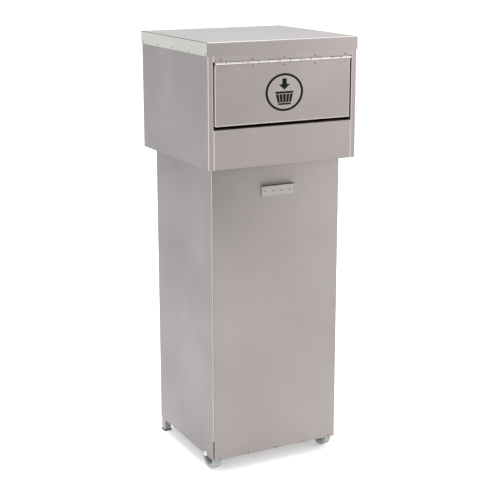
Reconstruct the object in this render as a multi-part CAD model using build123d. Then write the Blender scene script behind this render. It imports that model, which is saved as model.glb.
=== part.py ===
from build123d import *
import os

os.makedirs("parts", exist_ok=True)

# A free-standing litter compactor of folded stainless sheet. A push flap in a wide hood lets litter
# fall into a bin inside the body. A hand lever on the right side swings a press plate, which stands
# upright behind the flap, down into the bin. A door at the back lets the full bin out.
# Millimetres. +Z is up, the flap faces -Y, and +X is on the right of a person who faces the flap.
# The origin is on the floor, under the middle of the lid's and the flap hinge's outline.

# ---- overall sizes ----
total_height = 1340.0
lid_width = 500.0
lid_depth = 482.0
hood_height = 368.0
lid_flange = 39.0
side_overhang = 31.0
front_overhang = 43.0
back_overhang = 30.0
body_clearance_to_floor = 44.5

# ---- sheet and fasteners ----
sheet = 1.5
hood_bend = 1.75
body_bend = 2.25
rivet_head_r = 2.8
rivet_head_h = 1.3
rivet_shank_r = 1.6
rivet_tail_r = 2.4
rivet_tail_h = 1.1

# ---- hood ----
trim_ledge = 20.0
post_width = 17.0
post_depth = 21.0
post_seam = 1.0
hood_back_return = 26.5
panel_gap = 4.0
panel_seam = 0.5
panel_ear = 13.0
hinge_drop = 61.0
flap_height = 182.0
flap_gap = 9.0
hinge_cover_gap = 4.5
body_overlap = 93.0
ring_flange = 21.0
ring_lift = 1.5
lid_rivet_inset = 15.0
lid_rivet_rise = 5.5
lid_rivet_count = 5
back_rivet_count = 4

# ---- flap and its long hinge ----
flap_return = 15.0
flap_edge_r = 5.0
flap_relief = 4.0
barrel_r = 4.0
hinge_pin_r = 1.5
leaf = 1.5
leaf_height = 25.0
knuckle_count = 13
knuckle_gap = 0.4
pivot_clearance = 0.05
hinge_rivet_count = 5
hinge_rivet_inset = 19.5
header_rivet_rise = 10.0
flap_rivet_drop = 12.0
sign_width = 128.0
sign_height = 113.0
sign_thickness = 0.5
sign_drop = 93.0
bracket_height = 20.0
bracket_reach = 12.0
bracket_low = 8.0
pad_r = 6.0
pad_thickness = 1.8
stop_gap = 0.2

# ---- body ----
front_return = 16.0
back_return = 37.0
post_side = 24.0
post_wall = 1.5
post_corner_r = 3.0
post_top_drop = 35.0
pan_above_wheel = 10.0
pan_low_gap = 3.5
pan_upstand = 30.0
corner_slot_width = 4.0
corner_slot_low = 4.5
corner_slot_height = 59.0
front_rivet_pitch = 100.0
left_rivet_start = 13.5
right_rivet_start = 53.5
front_rivet_inset = 6.5
low_rivet_count = 5
low_rivet_inset = 24.0
low_rivet_rise = 4.0
back_panel_height = 100.0
foot_height = 5.0
foot_proud = 1.0
foot_plug = 15.0

# ---- pull handle ----
handle_width = 108.0
handle_plate = 34.0
handle_lip = 18.0
handle_sheet = 3.0
handle_drop = 68.0
handle_rivet_pitch = 28.0
handle_rivet_count = 4

# ---- wheels ----
wheel_r = 50.0
wheel_width = 24.0
rim_r = 36.0
wheel_boss = 26.0
boss_r = 14.0
recess_depth = 4.0
recess_r = 30.0
axle_r = 6.0
wheel_front_gap = 5.25
wheel_spacer = 5.0
wheel_spacer_r = 9.0
wheel_play = 0.3
cap_r = 9.0
cap_height = 8.0

# ---- bin and chute ----
bin_clearance = 4.0
bin_front_gap = 8.5
bin_back_gap = 15.0
bin_wall = 1.2
bin_hem = 2.4
bin_hem_height = 12.0
bin_top_drop = 55.0
bin_handle_width = 120.0
bin_handle_reach = 9.0
bin_handle_bar = 4.0
bin_handle_rise = 560.0
chute_sheet = 1.2
chute_post_gap = 5.3
chute_above_bin = 6.0
chute_front_gap = 6.0
chute_back_gap = 13.0
deflector_gap = 10.0
deflector_post_gap = 4.7
deflector_knee = 9.0
deflector_rise = 66.0
press_side_clearance = 3.0

# ---- press ----
pivot_drop = 27.0
bearing_post_gap = 1.25
press_tip_gap = 34.5
press_sheet = 3.0
press_depth = 28.0
press_face_offset = 15.0
press_heel = 14.0
rib_count = 3
rib_sheet = 4.0
rib_edge = 12.0
shaft_r = 10.0
bearing_size = 42.0
bearing_thick = 12.0
bearing_clearance = 0.05
spring_wire = 4.0
spring_r = 15.0
spring_turns = 4.0
spring_pitch = 4.6
rail_height = 30.0
rail_depth = 26.0
rail_sheet = 2.0
rail_rise = 265.0
buffer_r = 10.0
buffer_length = 10.0
lever_angle = 100.0
lever_length = 300.0
lever_bar = 6.0
lever_width = 26.0
lever_hub_r = 19.0
lever_gap = 3.5
grip_length = 115.0
grip_r = 11.5
grip_core = 14.0
lever_pin_r = 2.0

# ---- back door ----
door_depth = 13.75
door_gap = 0.5
door_side = 19.5
door_top_drop = 12.0
door_low_rise = 11.5
door_barrel_r = 6.0
door_pin_r = 3.0
door_barrel_length = 30.0
door_barrel_gap = 0.5
door_pin_drop = 3.0
door_hinge_inset = 90.0
door_hinge_count = 3
latch_inset = 17.0
latch_height = 500.0
latch_shaft_r = 6.0
latch_sleeve_r = 8.5
latch_flange_r = 14.0
latch_flange = 1.5
cam_length = 27.0
cam_width = 16.0
cam_thick = 3.0
cam_back_gap = 3.25
knob_r = 13.0
knob_height = 10.0
knob_bar = 7.0

# ---- levels and planes worked out from the sizes ----
hood_low = total_height - hood_height
body_low = body_clearance_to_floor
body_top = hood_low + body_overlap
hinge_z = total_height - hinge_drop
flap_low = hinge_z - flap_height
flap_top = hinge_z - hinge_cover_gap
header_low = hinge_z + hinge_cover_gap
panel_top = flap_low - flap_gap
bend_in = hood_bend - sheet / 2
trim_top = total_height - sheet
hood_top = trim_top - sheet - bend_in
flange_low = total_height - lid_flange

barrel_proud = 2 * barrel_r - 2 * sheet - leaf
lid_front = (barrel_proud - lid_depth) / 2
lid_back = lid_front + lid_depth
lid_half = lid_width / 2
hood_half = lid_half - sheet
hood_front = lid_front + sheet
hood_back = lid_back - sheet
hinge_y = hood_front + sheet + leaf - barrel_r
post_in = hood_half - post_width
panel_half = post_in - panel_gap
inner_half = panel_half - flap_edge_r
fixed_half = post_in - panel_seam

body_half = lid_half - side_overhang
body_inner = body_half - sheet
body_front = lid_front + front_overhang
body_back = lid_back - back_overhang
front_inner = body_front + 2 * sheet
back_inner = body_back - sheet
door_opening_half = body_half - back_return
post_top = body_top - post_top_drop
pan_top = 2 * wheel_r + pan_above_wheel
pan_flange = pan_top - body_low - pan_low_gap

axle_back = wheel_r + wheel_front_gap
axle_y = body_front + axle_back
wheel_x = body_inner - wheel_spacer - wheel_play - wheel_boss / 2

pivot_from_back = sheet + post_side + bearing_post_gap + bearing_size / 2
pivot_y = body_back - pivot_from_back
pivot_z = hood_low - pivot_drop
bin_top = pivot_z - bin_top_drop
bin_half = door_opening_half - bin_clearance
bin_front = front_inner + bin_front_gap
bin_back = back_inner - bin_back_gap
bin_low = pan_top
press_half = bin_half - bin_wall - press_side_clearance
press_r = pivot_y - front_inner - press_tip_gap
chute_in = press_half + press_side_clearance
chute_low = bin_top + chute_above_bin
chute_mid = chute_in + chute_sheet / 2
chute_wide = post_in - sheet
post_face = body_inner - post_side
chute_at_post = post_face - chute_post_gap
chute_slope = (panel_top - post_top) / (chute_wide - chute_at_post)
chute_slope_low = body_top - post_top + (chute_at_post - chute_mid) * chute_slope
deflector_side = post_face - deflector_post_gap - chute_in

door_front = body_back + door_gap
door_back = door_front + door_depth
door_half = body_half - door_side
door_low = body_low + door_low_rise
door_top = hood_low - door_top_drop
door_axis_x = -(door_half + door_barrel_r)
door_axis_y = door_back - door_barrel_r / 2
latch_x = door_opening_half - latch_inset


# ---- shared shapes ----
def block(x0, x1, y0, y1, z0, z1):
    """A block between two opposite corners, given in any order."""
    middle = Pos((x0 + x1) / 2, (y0 + y1) / 2, (z0 + z1) / 2)
    return middle * Box(abs(x1 - x0), abs(y1 - y0), abs(z1 - z0))


def folded(points, low, high, plane=Plane.XY, thick=sheet, bend=hood_bend):
    """Sheet folded along a line through points in plane, and as long as low to high on its normal."""
    line = Polyline(*points) if len(points) < 3 else FilletPolyline(*points, radius=bend)
    section = trace(line, line_width=thick)
    return extrude(plane.offset(low) * section, amount=high - low)


def along(direction, spot, shape):
    """The shape, made along +Z, turned to a direction and moved to a spot."""
    return Plane(origin=spot, z_dir=direction).location * shape


def rod(direction, spot, radius, length):
    """A round bar that starts at a spot and runs along a direction."""
    return along(direction, spot, Pos(0, 0, length / 2) * Cylinder(radius, length))


def tube(direction, spot, outer, inner, length):
    """A round tube that starts at a spot and runs along a direction."""
    return rod(direction, spot, outer, length) - rod(direction, spot, inner, length)


def rivet(direction, spot, grip):
    """A dome-headed rivet: spot is on the face under its head, and the head points along direction."""
    rise = (rivet_head_r**2 - rivet_head_h**2) / (2 * rivet_head_h)
    ball = Pos(0, 0, -rise) * Sphere(rise + rivet_head_h)
    head = ball & (Pos(0, 0, rivet_head_h / 2) * Cylinder(rivet_head_r, rivet_head_h))
    shank = Pos(0, 0, -grip / 2) * Cylinder(rivet_shank_r, grip)
    tail = Pos(0, 0, -grip - rivet_tail_h / 2) * Cylinder(rivet_tail_r, rivet_tail_h)
    return along(direction, spot, head + shank + tail)


def drill(part, direction, spots, radius=rivet_shank_r, depth=4 * sheet):
    """The part with a hole at each spot, which reaches depth behind it and as far in front."""
    for spot in spots:
        back = tuple(s - depth * d for s, d in zip(spot, direction))
        part -= rod(direction, back, radius, 2 * depth)
    return part


def spread(low, high, count):
    """Evenly spaced places from low to high."""
    return [low + (high - low) * i / (count - 1) for i in range(count)]


def save(name, *pieces):
    """Write one node, whose pieces stay separate solids."""
    solids = [s for piece in pieces for s in piece.solids()]
    export_step(Compound(children=solids) if len(solids) > 1 else solids[0], f"parts/{name}.step")


# ---- rivet places ----
right = (1, 0, 0)
front = (0, -1, 0)
back = (0, 1, 0)
up = (0, 0, 1)

lid_rivet_ys = spread(lid_front + lid_rivet_inset, lid_back - lid_rivet_inset, lid_rivet_count)
lid_rivet_z = flange_low + lid_rivet_rise
hinge_rivet_xs = spread(-panel_half + hinge_rivet_inset, panel_half - hinge_rivet_inset, hinge_rivet_count)
header_spots = [(x, hood_front, hinge_z + header_rivet_rise) for x in hinge_rivet_xs]
flap_spots = [(x, hood_front, hinge_z - flap_rivet_drop) for x in hinge_rivet_xs]
back_rivet_x = hood_half - hood_back_return / 2
back_rivet_zs = spread(hood_low + 2 * ring_flange, flange_low - ring_flange, back_rivet_count)
back_spots = [(s * back_rivet_x, hood_back, z) for s in (-1, 1) for z in back_rivet_zs]
front_rivet_x = body_half - front_rivet_inset


def column(start):
    """The heights of a column of front rivets, which stops under the hood."""
    heights = []
    z = body_low + start + front_rivet_pitch
    while z < hood_low - front_rivet_pitch / 2:
        heights.append(z)
        z += front_rivet_pitch
    return heights


left_column = [(-front_rivet_x, body_front, z) for z in column(left_rivet_start)]
right_column = [(front_rivet_x, body_front, z) for z in column(right_rivet_start)]
low_rivet_half = body_half - low_rivet_inset
low_rivet_xs = spread(-low_rivet_half, low_rivet_half, low_rivet_count)
low_row = [(x, body_front, body_low + low_rivet_rise) for x in low_rivet_xs]
handle_top = hood_low - handle_drop
handle_low = handle_top - handle_plate
handle_rivet_half = handle_rivet_pitch * (handle_rivet_count - 1) / 2
handle_rivet_z = handle_low + handle_plate / 2 - handle_sheet
handle_row = [
    (x, body_front - handle_sheet, handle_rivet_z)
    for x in spread(-handle_rivet_half, handle_rivet_half, handle_rivet_count)
]


# ---- lid ----
def lid_top():
    """The top sheet, folded down at the front and at the back."""
    half = sheet / 2
    line = [
        (lid_front + half, flange_low),
        (lid_front + half, total_height - half),
        (lid_back - half, total_height - half),
        (lid_back - half, flange_low),
    ]
    return folded(line, -lid_half, lid_half, Plane.YZ)


def lid_trim(side):
    """The strip down one side of the lid, with a ledge under the top sheet."""
    half = sheet / 2
    line = [
        (side * (lid_half - trim_ledge), trim_top - half),
        (side * (lid_half - half), trim_top - half),
        (side * (lid_half - half), flange_low),
    ]
    strip = folded(line, bend_in - hood_back, -bend_in - hood_front, Plane.XZ)
    return drill(strip, (side, 0, 0), [(side * lid_half, y, lid_rivet_z) for y in lid_rivet_ys])


# ---- hood ----
def hood_side(side):
    """One side of the hood: a return at the back, and a boxed post at the front."""
    half = sheet / 2
    line = [
        (side * (hood_half - hood_back_return), hood_back - half),
        (side * (hood_half - half), hood_back - half),
        (side * (hood_half - half), hood_front + half),
        (side * (post_in + half), hood_front + half),
        (side * (post_in + half), hood_front + post_depth - half),
        (side * (hood_half - sheet - post_seam), hood_front + post_depth - half),
    ]
    panel = folded(line, hood_low, hood_top)
    panel = drill(panel, (side, 0, 0), [(side * hood_half, y, lid_rivet_z) for y in lid_rivet_ys])
    return drill(panel, back, back_spots)


def hood_back_panel():
    """The back of the hood, inside the two back returns."""
    half_width = hood_half - 2 * sheet - hood_bend
    panel = block(-half_width, half_width, hood_back - 2 * sheet, hood_back - sheet, hood_low, hood_top)
    return drill(panel, back, back_spots)


def eared_panel(low, high):
    """A front panel whose sides fold back between the posts and end in ears behind them."""
    half = sheet / 2
    ear_y = hood_front + post_depth + half
    line = [
        (-fixed_half + half - panel_ear, ear_y),
        (-fixed_half + half, ear_y),
        (-fixed_half + half, hood_front + half),
        (fixed_half - half, hood_front + half),
        (fixed_half - half, ear_y),
        (fixed_half - half + panel_ear, ear_y),
    ]
    return folded(line, low, high)


def header_panel():
    """The fixed panel above the flap, which carries the hinge."""
    return drill(eared_panel(header_low, hood_top), front, header_spots)


def lower_front_panel():
    """The fixed panel below the flap, with a shelf folded back at its top."""
    panel = eared_panel(hood_low, panel_top)
    shelf_half = fixed_half - sheet
    return panel + block(
        -shelf_half, shelf_half, hood_front + sheet / 2, hood_front + post_depth,
        panel_top - sheet, panel_top,
    )


def hood_ring():
    """The floor of the hood's overhang, with flanges up the hood and up the body."""
    z0 = hood_low + ring_lift
    z1 = z0 + sheet
    top = z0 + ring_flange
    x_out = hood_half - sheet
    y_front = hood_front + sheet
    y_back = hood_back - 2 * sheet
    ring = block(-x_out, x_out, y_front, y_back, z0, z1)
    ring -= block(-body_half, body_half, body_front, body_back, z0, z1)
    low_corner = hood_front + post_depth + 2 * sheet
    for side in (-1, 1):
        ring += block(side * body_half, side * (body_half + sheet), body_front, body_back, z0, top)
        ring += block(side * x_out, side * (x_out - sheet), low_corner, y_back, z0, top)
        ring -= block(side * inner_half, side * x_out, y_front, low_corner - sheet, z0, z1)
    straight = body_half - body_bend
    ring += block(-straight, straight, body_front, body_front - sheet, z0, top)
    ring += block(-straight, straight, body_back, body_back + sheet, z0, top)
    ring += block(-inner_half, inner_half, y_front, y_front + sheet, z0, top)
    return ring


def rear_rail():
    """The angle across the back of the hood that the press plate rests against."""
    y0 = pivot_y - press_face_offset + press_depth + buffer_length
    z0 = pivot_z + rail_rise
    ends = hood_half - sheet
    rail = block(-ends, ends, y0, y0 + rail_sheet, z0, z0 + rail_height)
    return rail + block(-ends, ends, y0, y0 + rail_depth, z0 + rail_height - rail_sheet, z0 + rail_height)


def stop_buffers():
    """Two rubber buffers on the rail, behind the outer ribs of the press plate."""
    y0 = pivot_y - press_face_offset + press_depth + stop_gap
    y1 = pivot_y - press_face_offset + press_depth + buffer_length
    z = pivot_z + rail_rise + rail_height / 2
    return [rod(back, (x, y0, z), buffer_r, y1 - y0) for x in (rib_places()[0], rib_places()[-1])]


# ---- long hinge of the flap ----
def knuckle_spans(first):
    """The x ranges of every second knuckle, beginning with first."""
    pitch = 2 * panel_half / knuckle_count
    spans = []
    for i in range(first, knuckle_count, 2):
        x0 = -panel_half + i * pitch + knuckle_gap / 2
        spans.append((x0, x0 + pitch - knuckle_gap))
    return spans


def hinge_leaf(direction, first, bore):
    """A leaf behind the sheet, joined to the barrel only at its own knuckles."""
    y0 = hinge_y + barrel_r - leaf
    y1 = hinge_y + barrel_r
    near = hinge_z + direction * hinge_cover_gap
    far = hinge_z + direction * leaf_height
    part = block(-inner_half, inner_half, y0, y1, near, far)
    for x0, x1 in knuckle_spans(first):
        part += block(max(x0, -inner_half), min(x1, inner_half), y0, y1, hinge_z, near)
        part += rod(right, (x0, hinge_y, hinge_z), barrel_r, x1 - x0)
    part -= rod(right, (-panel_half, hinge_y, hinge_z), bore, 2 * panel_half)
    return part


def fixed_leaf():
    """The hinge leaf behind the header panel, which grips the pin."""
    return drill(hinge_leaf(1, 0, hinge_pin_r), front, header_spots)


def moving_leaf():
    """The hinge leaf behind the flap, which turns on the pin."""
    return drill(hinge_leaf(-1, 1, hinge_pin_r + pivot_clearance), front, flap_spots)


def hinge_pin():
    """The wire that runs the whole length of the barrel."""
    return rod(right, (-panel_half, hinge_y, hinge_z), hinge_pin_r, 2 * panel_half)


# ---- flap ----
def rounded_tray(solid, radius):
    """The solid with its front and bottom corner edges rounded, and its top left sharp."""
    face = solid.faces().sort_by(Axis.Y)[0]
    edges = face.edges().filter_by(Axis.Z) + face.edges().filter_by(Axis.X).sort_by(Axis.Z)[:1]
    edges += solid.faces().sort_by(Axis.Z)[0].edges().filter_by(Axis.Y)
    return fillet(edges, radius)


def flap_panel():
    """The push flap: its bottom edge is folded inwards, and so are its sides below the hinge leaf."""
    y_end = hood_front + flap_return
    above = flap_top + flap_return
    outside = block(-panel_half, panel_half, hood_front, y_end, flap_low, above)
    outside = rounded_tray(outside, flap_edge_r)
    wide = panel_half - sheet
    inside = block(-wide, wide, hood_front + sheet, y_end, flap_low + sheet, above)
    inside = rounded_tray(inside, flap_edge_r - sheet)
    tray = outside - inside - block(-panel_half, panel_half, hood_front, y_end, flap_top, above)
    relief_low = hinge_z - leaf_height - flap_relief
    tray -= block(-panel_half, panel_half, hood_front + flap_edge_r, y_end, relief_low, flap_top)
    return drill(tray, front, flap_spots)


def flap_sign():
    """A thin oval plate stuck on the flap."""
    face = Plane(origin=(0, hood_front, hinge_z - sign_drop), x_dir=right, z_dir=front)
    return extrude(face * Ellipse(sign_width / 2, sign_height / 2), amount=sign_thickness)


def flap_brackets():
    """Two angles inside the flap's folded sides, whose ears meet pads behind the posts."""
    pieces = []
    z0 = flap_low + bracket_low
    ear_y = hood_front + post_depth + pad_thickness + stop_gap
    for side in (-1, 1):
        x_leg = panel_half - sheet
        leg = block(side * x_leg, side * (x_leg - sheet), hood_front + flap_edge_r, ear_y + sheet, z0,
                    z0 + bracket_height)
        ear = block(side * (x_leg - sheet), side * (post_in + bracket_reach), ear_y, ear_y + sheet, z0,
                    z0 + bracket_height)
        pieces.append(leg + ear)
    return pieces


def flap_pads():
    """Two rubber pads on the back of the posts, which stop the flap when it swings shut."""
    z = flap_low + bracket_low + bracket_height / 2
    x = post_in + bracket_reach - pad_r
    y = hood_front + post_depth
    return [rod(back, (side * x, y, z), pad_r, pad_thickness) for side in (-1, 1)]


# ---- body ----
def body_side(side):
    """One side of the body, folded inwards at the front and at the back."""
    half = sheet / 2
    line = [
        (side * (body_half - back_return), body_back - half),
        (side * (body_half - half), body_back - half),
        (side * (body_half - half), body_front + 1.5 * sheet),
        (side * (body_half - front_return), body_front + 1.5 * sheet),
    ]
    panel = folded(line, body_low, body_top, bend=body_bend)
    slot_low = body_low + corner_slot_low
    panel -= block(side * (body_half + 1), side * (body_half - corner_slot_width), body_front,
                   body_front + corner_slot_width, slot_low, slot_low + corner_slot_height)
    panel = drill(panel, front, left_column + right_column)
    outside = (side * body_half, axle_y, wheel_r)
    panel = drill(panel, (side, 0, 0), [outside], radius=axle_r)
    if side > 0:
        panel = drill(panel, right, [(body_half, pivot_y, pivot_z)], radius=shaft_r + 1)
    return panel


def body_front_panel():
    """The front of the body, riveted over the folded edges of the sides."""
    half_width = body_half - body_bend - sheet / 2
    panel = block(-half_width, half_width, body_front, body_front + sheet, body_low, body_top)
    panel = drill(panel, front, left_column + right_column + low_row)
    return drill(panel, front, handle_row)


def back_top_panel():
    """The strip across the back of the body, above the door."""
    half_width = body_inner - post_side
    z0 = door_top - 2 * door_gap - sheet
    return block(-half_width, half_width, back_inner - sheet, back_inner, z0, z0 + back_panel_height)


def base_pan():
    """The shelf that the bin stands on, folded down at the front and back and up at the sides."""
    z0 = pan_top - sheet
    low = pan_top - pan_flange
    y_front = body_front + sheet
    wide = body_half - front_return
    narrow = body_inner - post_side
    pan = block(-wide, wide, front_inner, back_inner - post_side, z0, pan_top)
    pan += block(-body_inner, body_inner, front_inner + body_bend, back_inner - post_side, z0, pan_top)
    pan += block(-narrow, narrow, front_inner, back_inner, z0, pan_top)
    pan += block(-wide, wide, y_front, y_front + sheet, low, pan_top)
    pan += block(-narrow, narrow, back_inner - sheet, back_inner, low, pan_top)
    for side in (-1, 1):
        pan += block(side * body_inner, side * (body_inner - sheet), front_inner + post_side,
                     back_inner - post_side, z0, pan_top + pan_upstand)
    return drill(pan, front, low_row)


def corner_posts(y0, low):
    """Two square tubes in the corners of the body, which begin at low."""
    pieces = []
    mid_x = body_inner - post_side / 2
    core = post_side - 2 * post_wall
    height = post_top - low
    for side in (-1, 1):
        spot = Pos(side * mid_x, y0 + post_side / 2, low + height / 2)
        solid = Box(post_side, post_side, height)
        solid = fillet(solid.edges().filter_by(Axis.Z), post_corner_r)
        post = spot * solid - spot * Box(core, core, height)
        pieces.append(drill(post, front, left_column + right_column, depth=2 * sheet + 2 * post_wall))
    return pieces


def foot_caps():
    """Two plastic caps plugged into the lower ends of the back posts."""
    pieces = []
    mid_x = body_inner - post_side / 2
    mid_y = back_inner - post_side / 2
    wide = post_side + 2 * foot_proud
    core = post_side - 2 * post_wall
    for side in (-1, 1):
        cap = Pos(side * mid_x, mid_y, foot_height / 2) * Box(wide, wide, foot_height)
        cap = chamfer(cap.edges().group_by(Axis.Z)[0], foot_proud)
        plug = Pos(side * mid_x, mid_y, foot_height + foot_plug / 2) * Box(core, core, foot_plug)
        pieces.append(cap + plug)
    return pieces


def pull_handle():
    """An angle riveted to the front, whose lip sticks out to be pulled."""
    half = handle_sheet / 2
    line = [
        (body_front - half, handle_low),
        (body_front - half, handle_top - half),
        (body_front - handle_lip - handle_sheet, handle_top - half),
    ]
    part = folded(line, -handle_width / 2, handle_width / 2, Plane.YZ, handle_sheet, 2 * half)
    return drill(part, front, handle_row)


# ---- wheels ----
def axle():
    """The bar through both wheels and both sides of the body."""
    end = body_half + cap_height / 2
    return rod(right, (-end, axle_y, wheel_r), axle_r, 2 * end)


def axle_caps():
    """A domed cap pushed on each end of the axle."""
    pieces = []
    rise = (cap_r**2 - cap_height**2) / (2 * cap_height)
    for side in (-1, 1):
        ball = Pos(0, 0, -rise) * Sphere(rise + cap_height)
        dome = ball & (Pos(0, 0, cap_height / 2) * Cylinder(cap_r, cap_height))
        dome -= Pos(0, 0, cap_height / 4) * Cylinder(axle_r, cap_height / 2)
        pieces.append(along((side, 0, 0), (side * body_half, axle_y, wheel_r), dome))
    return pieces


def axle_spacers():
    """A short spacer outside each wheel, and a long one between them."""
    pieces = []
    for side in (-1, 1):
        spot = (side * body_inner, axle_y, wheel_r)
        pieces.append(tube((-side, 0, 0), spot, wheel_spacer_r, axle_r, wheel_spacer))
    inner = wheel_x - wheel_boss / 2 - wheel_play
    pieces.append(tube(right, (-inner, axle_y, wheel_r), wheel_spacer_r, axle_r, 2 * inner))
    return pieces


def tyre(side):
    """The grey solid tyre of one wheel."""
    spot = (side * wheel_x - wheel_width / 2, axle_y, wheel_r)
    ring = rod(right, spot, wheel_r, wheel_width)
    ring = fillet(ring.edges().filter_by(GeomType.CIRCLE), wheel_width / 5)
    return ring - rod(right, spot, rim_r, wheel_width)


def wheel_hub(side):
    """The moulded hub of one wheel, with a round recess in each face."""
    inset = wheel_width / 2 - 1
    hub = rod(right, (side * wheel_x - inset, axle_y, wheel_r), rim_r, 2 * inset)
    for face in (-1, 1):
        start = side * wheel_x + face * inset
        hub -= tube((-face, 0, 0), (start, axle_y, wheel_r), recess_r, boss_r, recess_depth)
    hub += rod(right, (side * wheel_x - wheel_boss / 2, axle_y, wheel_r), boss_r, wheel_boss)
    bore = rod(right, (side * wheel_x - wheel_boss / 2, axle_y, wheel_r), axle_r + pivot_clearance, wheel_boss)
    return hub - bore


# ---- bin and chute ----
def inner_bin():
    """The loose bin: an open box with a thick hem round its top."""
    outer = block(-bin_half, bin_half, bin_front, bin_back, bin_low, bin_top)
    inside = block(-bin_half + bin_wall, bin_half - bin_wall, bin_front + bin_wall, bin_back - bin_wall,
                   bin_low + bin_wall, bin_top)
    extra = bin_hem - bin_wall
    hem = block(-bin_half - extra, bin_half + extra, bin_front - extra, bin_back + extra,
                bin_top - bin_hem_height, bin_top)
    return outer + hem - inside


def bin_handle():
    """The bar handle on the back of the bin, with a foot at each end."""
    z = bin_low + bin_handle_rise
    y1 = bin_back + bin_handle_reach
    bar = bin_handle_bar
    ends = bin_handle_width / 2
    part = block(-ends, ends, y1 - bar, y1, z - 2 * bar, z + 2 * bar)
    for side in (-1, 1):
        part += block(side * ends, side * (ends - bar), bin_back, y1, z - 2 * bar, z + 2 * bar)
    return part


def chute_side(side):
    """The side of the feed chute: it slopes in from the hood and ends above the bin."""
    line = [
        (side * chute_mid, chute_low),
        (side * chute_mid, body_top - chute_slope_low),
        (side * chute_wide, panel_top),
    ]
    y_back = back_inner - chute_back_gap
    plate = folded(line, -y_back, -(front_inner + chute_front_gap), Plane.XZ, chute_sheet)
    return plate - rod(right, (-lid_half, pivot_y, pivot_z), shaft_r + bin_clearance, lid_width)


def chute_front():
    """The front of the feed chute: a wide slope behind the lower panel, and a drop to the bin."""
    half = chute_sheet / 2
    y_drop = front_inner + 2 * sheet + half
    knee = body_top + sheet
    drop = block(-chute_in + 1, chute_in - 1, y_drop - half, y_drop + half, chute_low, knee)
    line = [(hood_front + post_depth + sheet, panel_top - half), (y_drop, knee - half)]
    slope = folded(line, -(post_in - 2 * bin_clearance), post_in - 2 * bin_clearance, Plane.YZ, chute_sheet)
    return drop + slope


def rear_deflector():
    """The plate that closes the space behind the press plate."""
    half = chute_sheet / 2
    y = back_inner - deflector_gap
    line = [
        (y, pivot_z + 3 * shaft_r),
        (y, body_top + deflector_knee),
        (hood_back - 2 * sheet - half, body_top + deflector_rise),
    ]
    reach = chute_in + deflector_side
    return folded(line, -reach, reach, Plane.YZ, chute_sheet)


# ---- press ----
def rib_places():
    """The x places of the ribs on the back of the press plate."""
    return spread(-press_half / 2, press_half / 2, rib_count)


def press_plate():
    """The press plate, standing upright, with its edges folded back."""
    y0 = pivot_y - press_face_offset
    y1 = y0 + press_depth
    z0 = pivot_z - press_heel
    z1 = pivot_z + press_r
    plate = block(-press_half, press_half, y0, y0 + press_sheet, z0, z1)
    plate += block(-press_half, press_half, y0, y1, z1 - press_sheet, z1)
    for side in (-1, 1):
        plate += block(side * press_half, side * (press_half - press_sheet), y0, y1, z0, z1)
    return plate - rod(right, (-press_half, pivot_y, pivot_z), shaft_r, 2 * press_half)


def press_ribs():
    """The ribs that carry the press plate on its shaft."""
    y0 = pivot_y - press_face_offset + press_sheet
    y1 = pivot_y - press_face_offset + press_depth
    pieces = []
    for x in rib_places():
        rib = block(x - rib_sheet / 2, x + rib_sheet / 2, y0, y1, pivot_z - press_heel,
                    pivot_z + press_r - press_sheet)
        rib = chamfer(rib.edges().filter_by(Axis.X).group_by(Axis.Y)[-1].sort_by(Axis.Z)[0], rib_edge / 2)
        pieces.append(rib - rod(right, (x - rib_sheet, pivot_y, pivot_z), shaft_r, 2 * rib_sheet))
    return pieces


def press_shaft():
    """The shaft across the body that the press plate and the lever are fixed to."""
    start = -(body_inner - sheet)
    end = body_half + lever_gap + lever_bar + lever_gap
    return rod(right, (start, pivot_y, pivot_z), shaft_r, end - start) - lever_pin()


def bearing_blocks():
    """A plain bearing inside each side of the body."""
    pieces = []
    half = bearing_size / 2
    for side in (-1, 1):
        piece = block(side * body_inner, side * (body_inner - bearing_thick), pivot_y - half, pivot_y + half,
                      pivot_z - half, pivot_z + half)
        piece = fillet(piece.edges().filter_by(Axis.X), bearing_thick / 2)
        bore = rod(right, (-body_half, pivot_y, pivot_z), shaft_r + bearing_clearance, 2 * body_half)
        pieces.append(piece - bore)
    return pieces


def return_springs():
    """A torsion spring on the shaft at each side, which lifts the press plate again."""
    pieces = []
    length = spring_turns * spring_pitch
    for side in (-1, 1):
        path = Helix(spring_pitch, length, spring_r)
        wire = Plane(path @ 0, z_dir=path % 0) * Circle(spring_wire / 2)
        coil = sweep(wire, path=path)
        start = chute_in + chute_sheet + spring_wire
        spot = (side * start, pivot_y, pivot_z)
        pieces.append(along((side, 0, 0), spot, coil))
    return pieces


def lever_frame(shape):
    """A shape made with the lever pointing along +Y and its hub at the origin, put in its place."""
    turn = Rot(X=180 + lever_angle - 90)
    return Pos(body_half + lever_gap, pivot_y, pivot_z) * turn * shape


def press_lever():
    """The hand lever: a flat bar with a hub on the shaft."""
    half = lever_width / 2
    bar = block(0, lever_bar, 0, lever_length, -half, half)
    hub = Rot(Y=90) * Cylinder(lever_hub_r, lever_bar + lever_gap / 2)
    hub = Pos(lever_bar / 2 + lever_gap / 4, 0, 0) * hub
    core = block(0, lever_bar, lever_length - grip_length, lever_length, -half, half)
    slim = block(0, lever_bar, lever_length - grip_length, lever_length, -grip_core / 2, grip_core / 2)
    bore = Rot(Y=90) * Cylinder(shaft_r, 4 * lever_hub_r)
    pin = Pos(lever_bar / 2, 0, 0) * Cylinder(lever_pin_r, 4 * lever_hub_r)
    return lever_frame(bar + hub - (core - slim) - bore - pin)


def lever_pin():
    """The cross pin that fixes the lever's hub to the shaft."""
    pin = Pos(lever_bar / 2, 0, 0) * Cylinder(lever_pin_r, 2 * lever_hub_r + 2)
    return lever_frame(pin)


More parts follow.
